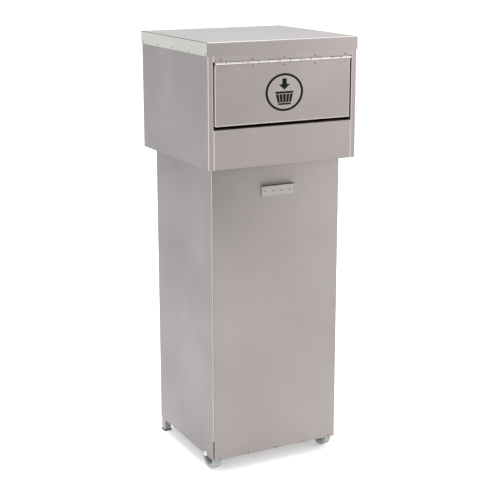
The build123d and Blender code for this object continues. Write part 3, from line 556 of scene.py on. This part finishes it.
rivet_copper = rivet_metal("rivet_copper", (0.16, 0.075, 0.042), (0.33, 0.165, 0.095))
rivet_plain = rivet_metal("rivet_plain", (0.22, 0.185, 0.17), (0.32, 0.275, 0.255))
row_top = 0.1
smallest_rivet = 0.95
never = math.inf
riveting = (("body_rivets", "cabinet", 0.2), ("hood_rivets", "cabinet", never), ("flap_rivets", "flap", 0.15))
for node, body, worn_beyond in riveting:
    places = rivet_places(node)
    worn = [p for p in places if abs(p[0][0]) > worn_beyond and p[0][2] > row_top]
    fresh = [p for p in places if p not in worn]
    rivets = grown(node + "_set", rivet_tree, row_of_points(fresh), Rivet=rivet_shape,
                   Smallest=smallest_rivet, Seed=7, Finish=rivet_copper)
    place_piece(rivets, rivet_copper, body, "rivet", node)
    if worn:
        columns = grown(node + "_columns", rivet_tree, row_of_points(worn), Rivet=rivet_shape,
                        Smallest=smallest_rivet, Seed=8, Finish=rivet_plain)
        place_piece(columns, rivet_plain, body, "rivet")
bpy.data.objects.remove(rivet_shape)

# ---- inner bin and its handle ----
# A loose box folded from 1.2 mm sheet and seam welded, with a hem rolled round its mouth. Litter
# has scratched the inside, mostly up and down, and left it duller than the cabinet.
scratched = (1.0, 1.0, 0.05)
bin_steel = satin_steel("bin_steel", (0.34, 0.335, 0.33), scratched, roughness=0.36, contrast=0.2)
cover(bin_steel, "inner_bin")
cover(bright_zinc, "bin_handle")

# ---- chute and deflector ----
# Thin mill sheet that guides litter from the flap down into the bin. Bags slide over it, so it is
# rubbed brighter along the slope than the sheet round it.
slid_over = (1.0, 0.05, 0.05)
chute_steel = satin_steel("chute_steel", (0.36, 0.355, 0.35), slid_over, roughness=0.34, contrast=0.2)
cover(chute_steel, "chute_left", "chute_right", "chute_front", "rear_deflector")

# ---- press plate and ribs ----
# Folded 3 mm steel, welded to three ribs and powder coated dark grey. The coat has the orange
# peel of a thick powder, and scratches through to bright steel where litter drags on it.
press_paint, tree, shader = finish("press_powder_coat", Specular_IOR_Level=0.5, Coat_Weight=0.12,
                                   Coat_Roughness=0.3)
place = object_place(tree)
peel = noise(tree, place, 320.0, 2.0)
scratch = noise(tree, place, 60.0, 6.0, (1.0, 1.0, 0.08))
worn = remap(tree, scratch, 0.66, 0.74)
coat = tone(tree, peel, (0.3, (0.055, 0.062, 0.068)), (0.7, (0.085, 0.092, 0.10)))
paint(tree, shader, blend(tree, worn, coat, (0.40, 0.40, 0.41, 1)), mixed(tree, (peel, 0.9)))
tree.links.new(mixed(tree, (worn, 0.7)), shader.inputs["Metallic"])
relief(tree, shader, peel, 0.0004)
cover(press_paint, "press_plate", "press_ribs")

# ---- press shaft, bearings and return springs ----
# A 20 mm ground bar turns in two blocks of white acetal. On it, inside each block, is a torsion
# spring of 4 mm wire, oiled black, which lifts the plate upright again.
ground_bar = plated_steel("ground_bar", (0.62, 0.63, 0.64), 0.26)
cover(ground_bar, "press_shaft", "lever_pin", "door_hinge_pins", "flap_hinge_pin")

acetal, tree, shader = finish("white_acetal", Subsurface_Weight=0.05, Specular_IOR_Level=0.5)
place = object_place(tree)
milled = noise(tree, place, 500.0, 2.0, (1.0, 0.05, 1.0))
yellowed = noise(tree, place, 30.0, 3.0)
look = mixed(tree, (milled, 0.4), (yellowed, 0.6))
cream = tone(tree, look, (0.3, (0.62, 0.60, 0.53)), (0.7, (0.78, 0.77, 0.72)))
paint(tree, shader, cream, mixed(tree, (look, 0.8)))
relief(tree, shader, milled, 0.0001)
cover(acetal, "bearing_blocks", "latch_sleeve")

spring_tree, given, end = sizes("torsion_springs", Turns="Float", Radius="Float", Length="Float",
                                Wire="Float", Finish="Material")
helix = {"Resolution": 28, "Rotations": given["Turns"], "Start Radius": given["Radius"],
         "End Radius": given["Radius"], "Height": given["Length"]}
coil = add(spring_tree, "GeometryNodeCurveSpiral", helix).outputs[0]
circle = {"Resolution": 14, "Radius": given["Wire"]}
section = add(spring_tree, "GeometryNodeCurvePrimitiveCircle", circle).outputs[0]
swept = {"Curve": coil, "Profile Curve": section, "Fill Caps": True}
wire = add(spring_tree, "GeometryNodeCurveToMesh", swept).outputs[0]
placed = instanced(spring_tree, given["Geometry"], wire, stored_way(spring_tree))
smooth = add(spring_tree, "GeometryNodeSetShadeSmooth", {"Geometry": placed})
close_tree(spring_tree, end, smooth.outputs[0], given["Finish"])

oiled_wire, tree, shader = finish("oiled_spring_wire", Metallic=0.9)
place = object_place(tree)
scale_marks = noise(tree, place, 700.0, 3.0)
oiled = tone(tree, scale_marks, (0.3, (0.05, 0.05, 0.055)), (0.7, (0.13, 0.125, 0.12)))
paint(tree, shader, oiled, mixed(tree, (scale_marks, 0.6)))
relief(tree, shader, scale_marks, 0.00008)
spring_low, spring_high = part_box("return_springs")
spring_wire = 0.002
spring_radius = (spring_high.z - spring_low.z) / 2 - spring_wire
spring_turns = 4.0
spring_length = 0.0184
spring_start = spring_high.x - spring_wire - spring_length
spring_y = (spring_low.y + spring_high.y) / 2
spring_z = (spring_low.z + spring_high.z) / 2
spring_spots = [([s * spring_start, spring_y, spring_z], [s, 0.0, 0.0]) for s in (-1.0, 1.0)]
springs = grown("spring_coils", spring_tree, row_of_points(spring_spots), Turns=spring_turns,
                Radius=spring_radius, Length=spring_length, Wire=spring_wire, Finish=oiled_wire)
place_piece(springs, oiled_wire, "cabinet", "spring_steel", "return_springs")

# ---- hand lever and grip ----
# A flat bar with a hub that is cross-pinned to the shaft, zinc plated. The grip is black rubber
# stretched over its end, with raised rings for the fingers.
cover(bright_zinc, "press_lever")
soft_black, tree, shader = finish("black_rubber", Specular_IOR_Level=0.35, Sheen_Weight=0.05)
place = object_place(tree)
skin = noise(tree, place, 900.0, 3.0)
bloom = noise(tree, place, 40.0, 4.0)
look = mixed(tree, (skin, 0.4), (bloom, 0.6))
black = tone(tree, look, (0.35, (0.012, 0.012, 0.013)), (0.7, (0.05, 0.05, 0.052)))
paint(tree, shader, black, mixed(tree, (look, 1.2)))
relief(tree, shader, skin, 0.0002)
cover(soft_black, "stop_buffers", "flap_pads")

grip_low, grip_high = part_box("lever_grip")
lever_tilt = math.radians(10)
grip_way = Vector((0.0, -math.cos(lever_tilt), -math.sin(lever_tilt)))
grip_radius = (grip_high.x - grip_low.x) / 2
grip_length = (grip_high.y - grip_low.y - 2 * grip_radius * math.sin(lever_tilt)) / math.cos(lever_tilt)
grip_end = grip_length / 2
grip_outline = [(-grip_end, 0.0), (-grip_end, grip_radius * 0.8), (-grip_end + 0.002, grip_radius)]
finger_grooves = 11
groove_bottom = grip_radius - 0.0013
for i in range(finger_grooves):
    a = -grip_end + 0.008 + i * (grip_length - 0.018) / (finger_grooves - 1)
    grip_outline += [(a - 0.0022, grip_radius), (a - 0.0012, groove_bottom)]
    grip_outline += [(a + 0.0012, groove_bottom), (a + 0.0022, grip_radius)]
nose = 0.006
grip_outline += arc(grip_end - nose, grip_radius - nose, nose, 90, 0, 6) + [(grip_end, 0.0)]
grip = turned("ribbed_grip", grip_outline, grip_way, (grip_low + grip_high) / 2, steps=48, sharp=25)
place_piece(grip, soft_black, "press", "black_rubber", "lever_grip")

# ---- back door, its hinges and its latch ----
# A shallow tray of stainless that covers the opening at the back, on three weld-on barrel
# hinges. A quarter-turn knob drives the cam that holds it shut.
door_steel = satin_steel("door_steel", (0.275, 0.255, 0.249), up_grain)
cover(door_steel, "back_door")
barrel_steel = plated_steel("barrel_steel", (0.55, 0.55, 0.54), 0.34)
cover(barrel_steel, "door_hinge_door_barrels", "door_hinge_body_barrels")
knob_chrome = plated_steel("knob_chrome", (0.75, 0.76, 0.77), 0.14)
cover(knob_chrome, "door_latch")

# ---- hood: sides and back ----
# Each side is one sheet, folded at the front into a boxed post that frames the flap, and folded in at the
# back over a separate back sheet. Its bends are painted lighter, a painted highlight, and its faces that look
# forwards, such as the post's front, are painted a little darker and warmer, a painted shade.
hood_steel = satin_steel("hood_side_steel", (0.262, 0.243, 0.244), up_grain, fold_highlight=2.3,
                         front=(0.262, 0.232, 0.222))
cover(hood_steel, "hood_side_left", "hood_side_right", "hood_back_panel")

# ---- hood: header and lower front panel ----
# Two fixed panels between the posts, above and below the flap, with edges folded back so that only a thin
# dark line shows on each side. Their folded edges are painted much lighter, a painted highlight.
panel_steel = satin_steel("hood_front_steel", (0.265, 0.239, 0.23), cross_grain, contrast=0.06, fold_highlight=2.6)
cover(panel_steel, "header_panel", "lower_front_panel")

# ---- long hinge of the flap ----
# A continuous hinge: two stainless leaves whose edges are cut into knuckles and rolled round one
# long pin. The knuckles are polished, and the gaps between them show as dark lines.
def knuckle_shape(length, radius, bore):
    """A rolled knuckle along +X, open by a slit where the sheet's end meets its leaf."""
    shape = bmesh.new()
    turns = 22
    stations = ((0.0, 0.0004), (0.0004, 0.0), (length - 0.0004, 0.0), (length, 0.0004))
    grid = []
    for x, inset in stations:
        row = []
        for i in range(turns + 1):
            angle = math.radians(12 + 340 * i / turns)
            y, z = math.cos(angle), math.sin(angle)
            outer = shape.verts.new((x, y * (radius - inset), z * (radius - inset)))
            inner = shape.verts.new((x, y * bore, z * bore))
            row.append((outer, inner))
        grid.append(row)
    for row, following in zip(grid, grid[1:]):
        for i in range(turns):
            shape.faces.new((row[i][0], row[i + 1][0], following[i + 1][0], following[i][0]))
            shape.faces.new((row[i][1], following[i][1], following[i + 1][1], row[i + 1][1]))
        for i in (0, turns):
            shape.faces.new((row[i][0], row[i][1], following[i][1], following[i][0]))
    for row in (grid[0], grid[-1]):
        for i in range(turns):
            shape.faces.new((row[i][0], row[i][1], row[i + 1][1], row[i + 1][0]))
    return shape


hinge_tree, given, end = sizes("rolled_knuckles", Knuckle="Object", Count="Int", First="Vector",
                               Step="Vector", Finish="Material")
line = {"Count": given["Count"], "Start Location": given["First"], "Offset": given["Step"]}
spots = add(hinge_tree, "GeometryNodeMeshLine", line).outputs[0]
row = instanced(hinge_tree, spots, shape_of(hinge_tree, given["Knuckle"]))
whole = add(hinge_tree, "GeometryNodeJoinGeometry")
hinge_tree.links.new(row, whole.inputs[0])
hinge_tree.links.new(given["Geometry"], whole.inputs[0])
close_tree(hinge_tree, end, whole.outputs[0], given["Finish"])

hinge_polish = plated_steel("hinge_polish", (0.56, 0.54, 0.52), 0.24)
pin_low, pin_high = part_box("flap_hinge_pin")
hinge_y = (pin_low.y + pin_high.y) / 2
hinge_z = (pin_low.z + pin_high.z) / 2
knuckles = 13
knuckle_pitch = (pin_high.x - pin_low.x) / knuckles
knuckle_gap = 0.0012
barrel_radius = 0.004
barrel_bore = 0.0016
leaf_sheet = 0.0015
leaf_from_pin = 0.0045
plate_half = pin_high.x - 0.005
rolled = knuckle_shape(knuckle_pitch - knuckle_gap, barrel_radius, barrel_bore)
knuckle = as_piece("knuckle_pattern", rolled, 30)
for leaf_name, body, first, count in (("fixed", "cabinet", 0, 7), ("moving", "flap", 1, 6)):
    node = f"flap_hinge_{leaf_name}_leaf"
    low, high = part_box(node)
    reach = high.z - hinge_z if leaf_name == "fixed" else low.z - hinge_z
    leaf = bmesh.new()
    bmesh.ops.create_cube(leaf, size=1.0)
    near = math.copysign(leaf_from_pin, reach)
    for vert in leaf.verts:
        vert.co.x *= 2 * plate_half
        vert.co.y = hinge_y + barrel_radius - (leaf_sheet if vert.co.y < 0 else 0.0)
        vert.co.z = hinge_z + (near if vert.co.z * reach < 0 else reach)
    for i in range(count):
        x0 = pin_low.x + (first + 2 * i) * knuckle_pitch + knuckle_gap / 2
        x1 = min(x0 + knuckle_pitch - knuckle_gap, plate_half)
        x0 = max(x0, -plate_half)
        for vert in bmesh.ops.create_cube(leaf, size=1.0)["verts"]:
            vert.co.x = x0 if vert.co.x < 0 else x1
            vert.co.y = hinge_y + barrel_radius - (leaf_sheet if vert.co.y < 0 else 0.0)
            vert.co.z = hinge_z + (0.0 if vert.co.z * reach < 0 else near * 1.02)
    base = as_piece(leaf_name + "_leaf_plate", leaf)
    first_spot = (pin_low.x + first * knuckle_pitch + knuckle_gap / 2, hinge_y, hinge_z)
    hinge = grown(f"hinge_{leaf_name}_leaf", hinge_tree, base.data.copy(), Knuckle=knuckle, Count=count,
                  First=first_spot, Step=(2 * knuckle_pitch, 0.0, 0.0), Finish=hinge_polish)
    bpy.data.objects.remove(base)
    place_piece(hinge, hinge_polish, body, "hinge_steel", node)
bpy.data.objects.remove(knuckle)

# ---- flap and its brackets ----
# The push flap is folded in along its bottom and sides, with rounded lower corners. Its rounded edges and
# folds are painted lighter, a painted highlight.
flap_steel = satin_steel("flap_steel", (0.25, 0.225, 0.217), cross_grain, roughness=0.43, contrast=0.06,
                         fold_highlight=2.1)
cover(flap_steel, "flap_panel")
cover(tube_steel, "flap_brackets")

# ---- sign on the flap ----
# A thin oval plate with a ring, a slatted bin and a down arrow, screen printed in dark green ink
# and stuck to the flap. The print stands a hair above the plate, as thick ink does.
sign_low, sign_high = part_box("flap_sign")
sign_x = (sign_low.x + sign_high.x) / 2
sign_z = (sign_low.z + sign_high.z) / 2
sign_radius = (sign_high.x - sign_low.x) / 2
squeeze = (sign_high.z - sign_low.z) / (sign_high.x - sign_low.x)
ink_rise = 0.00018
print_front = sign_low.y
plate_front = sign_low.y + ink_rise
plate_depth = sign_high.y - plate_front
plate_outline = [(0.0, 0.0), (0.0, sign_radius - 0.002), (0.0, sign_radius - 0.0004)]
plate_outline += [(plate_depth - 0.0001, sign_radius), (plate_depth, sign_radius), (plate_depth, 0.0)]
plate = turned("sign_plate", plate_outline, (0, 1, 0), (sign_x, plate_front, sign_z), steps=96)
to_middle = Matrix.Translation((0, 0, sign_z))
plate.data.transform(to_middle @ Matrix.Diagonal((1, 1, squeeze, 1)) @ to_middle.inverted())
sign_steel = satin_steel("sign_plate_steel", (0.262, 0.237, 0.229), cross_grain, roughness=0.43,
                         contrast=0.06)
place_piece(plate, sign_steel, "flap", "sign", "flap_sign")


def printed(shape, outline):
    """A flat shape of ink from (x, z) points, where half_width is half the sign's width."""
    unit = sign_radius / half_width
    spots = [(sign_x + x * unit, sign_z + z * unit * squeeze) for x, z in outline]
    front_verts = [shape.verts.new((x, print_front, z)) for x, z in spots]
    back_verts = [shape.verts.new((x, plate_front, z)) for x, z in spots]
    shape.faces.new(front_verts)
    shape.faces.new(list(reversed(back_verts)))
    for i in range(len(outline)):
        j = (i + 1) % len(outline)
        shape.faces.new((front_verts[j], front_verts[i], back_verts[i], back_verts[j]))


half_width = 64
ring_out = 63.3
ring_in = 55.6
ring_steps = 96
ink = bmesh.new()
for i in range(ring_steps):
    a0, a1 = (2 * math.pi * (i + k) / ring_steps for k in (0, 1))
    rim_points = ((ring_out, a0), (ring_out, a1), (ring_in, a1), (ring_in, a0))
    printed(ink, [(radius * math.cos(angle), radius * math.sin(angle)) for radius, angle in rim_points])
bmesh.ops.remove_doubles(ink, verts=ink.verts, dist=1e-7)
inner_walls = []
for face in ink.faces:
    level = [e for e in face.edges if abs(e.verts[0].co.y - e.verts[1].co.y) < 1e-7]
    if abs(face.normal.y) < 0.5 and all(len(edge.link_faces) > 2 for edge in level):
        inner_walls.append(face)
bmesh.ops.delete(ink, geom=inner_walls, context="FACES_ONLY")
rim_z = 3.0
base_z = -42.0
printed(ink, [(-30, rim_z), (30, rim_z), (30, rim_z - 7), (-30, rim_z - 7)])
printed(ink, [(-21.5, base_z + 6), (21.5, base_z + 6), (20.5, base_z), (-20.5, base_z)])
slats = 5
for i in range(slats):
    top_x = -24.0 + 48.0 * i / (slats - 1)
    low_x = top_x * 0.78
    slat = [(top_x - 4.8, rim_z - 9), (top_x + 4.8, rim_z - 9)]
    slat += [(low_x + 3.7, base_z + 8), (low_x - 3.7, base_z + 8)]
    printed(ink, slat)
printed(ink, [(-7.5, 46), (7.5, 46), (7.5, 27), (19, 27), (0, 8), (-19, 27), (-7.5, 27)])
pictogram = as_piece("sign_print", ink, 30)
sign_ink, tree, shader = finish("sign_ink", Specular_IOR_Level=0.05)
place = object_place(tree)
screen = noise(tree, place, 1300.0, 2.0)
faded = noise(tree, place, 70.0, 4.0)
look = mixed(tree, (screen, 0.4), (faded, 0.6))
green = tone(tree, look, (0.35, (0.002, 0.004, 0.003)), (0.7, (0.008, 0.012, 0.0095)))
paint(tree, shader, green, mixed(tree, (look, 0.95)))
relief(tree, shader, screen, 0.00005)
place_piece(pictogram, sign_ink, "flap", "sign")

# ---- lid: side strips ----
# A folded strip down each side, riveted to the hood. It is buffed, and its colour is painted much paler than
# the rest, a painted light for the light it catches more than any other part.
deep_grain = (1.0, 0.02, 1.0)
strip_steel = satin_steel("lid_strip_steel", (0.46, 0.465, 0.445), deep_grain, roughness=0.36)
cover(strip_steel, "lid_trim_left", "lid_trim_right")

# ---- lid: top ----
# One sheet folded down at the front and the back. Its cut ends, over the side strips, were left raw, and have
# gone brown in the weather. Its front fold is painted much darker than its top, a painted shade.
raw_ends = (0, (0.10, 0.06, 0.045))
lid_steel = satin_steel("lid_steel", (0.335, 0.322, 0.32), cross_grain, roughness=0.42,
                        front=(0.247, 0.226, 0.219), edge=raw_ends)
cover(lid_steel, "lid_top")

# ---- studio ----
# A pale seamless floor that glows a little, in an even white room, with a wide softbox overhead,
# a warm one at the right front and a cool one at the left. The camera stands at the left front,
# above the lid.
half_floor = 40.0
floor_corners = [(x * half_floor, y * half_floor, 0.0) for x, y in ((-1, -1), (1, -1), (1, 1), (-1, 1))]
floor_mesh = bpy.data.meshes.new("floor")
floor_mesh.from_pydata(floor_corners, [], [(0, 1, 2, 3)])
floor = bpy.data.objects.new("floor", floor_mesh)
bpy.context.scene.collection.objects.link(floor)
floor_paint, tree, shader = finish("floor_paint", Roughness=0.9, Specular_IOR_Level=0.1,
                                   Emission_Strength=0.32, Emission_Color=(1, 1, 1, 1))
patches = noise(tree, object_place(tree), 0.7, 2.0)
white = tone(tree, patches, (0.3, (0.965, 0.965, 0.965)), (0.7, (0.985, 0.985, 0.985)))
tree.links.new(white, shader.inputs["Base Color"])
floor_mesh.materials.append(floor_paint)

world = bpy.data.worlds.new("white_room")
world.use_nodes = True
background = world.node_tree.nodes["Background"].inputs
background["Color"].default_value = (1.0, 1.0, 1.0, 1)
background["Strength"].default_value = 1.0
bpy.context.scene.world = world
bpy.context.scene.view_settings.view_transform = "Standard"


def softbox(name, spot, target, width, power, colour):
    """A square area light that faces a target."""
    lamp = bpy.data.lights.new(name, "AREA")
    lamp.size = width
    lamp.energy = power
    lamp.color = colour
    holder = bpy.data.objects.new(name, lamp)
    holder.location = spot
    holder.rotation_euler = (Vector(target) - Vector(spot)).to_track_quat("-Z", "Y").to_euler()
    bpy.context.scene.collection.objects.link(holder)


softbox("overhead", (0.3, 0.6, 4.2), (0, 0, 0.6), 3.4, 95, (1.0, 1.0, 1.0))
softbox("right_front", (2.3, -2.3, 1.5), (0, 0, 0.7), 1.2, 26, (1.0, 0.96, 0.92))
softbox("left", (-4.2, 0.6, 1.9), (0, 0, 0.8), 2.6, 10, (0.93, 0.97, 1.0))

camera = bpy.data.objects.new("camera", bpy.data.cameras.new("camera"))
camera.location = (-1.750, -3.370, 1.650)
heading = math.radians(27.58)
dip = math.radians(13.80)
look = Vector((math.sin(heading) * math.cos(dip), math.cos(heading) * math.cos(dip), -math.sin(dip)))
camera.rotation_euler = look.to_track_quat("-Z", "Y").to_euler()
camera.data.sensor_width = 36.0
camera.data.lens = 88.1
camera.data.shift_y = -0.04
bpy.context.scene.collection.objects.link(camera)
bpy.context.scene.camera = camera
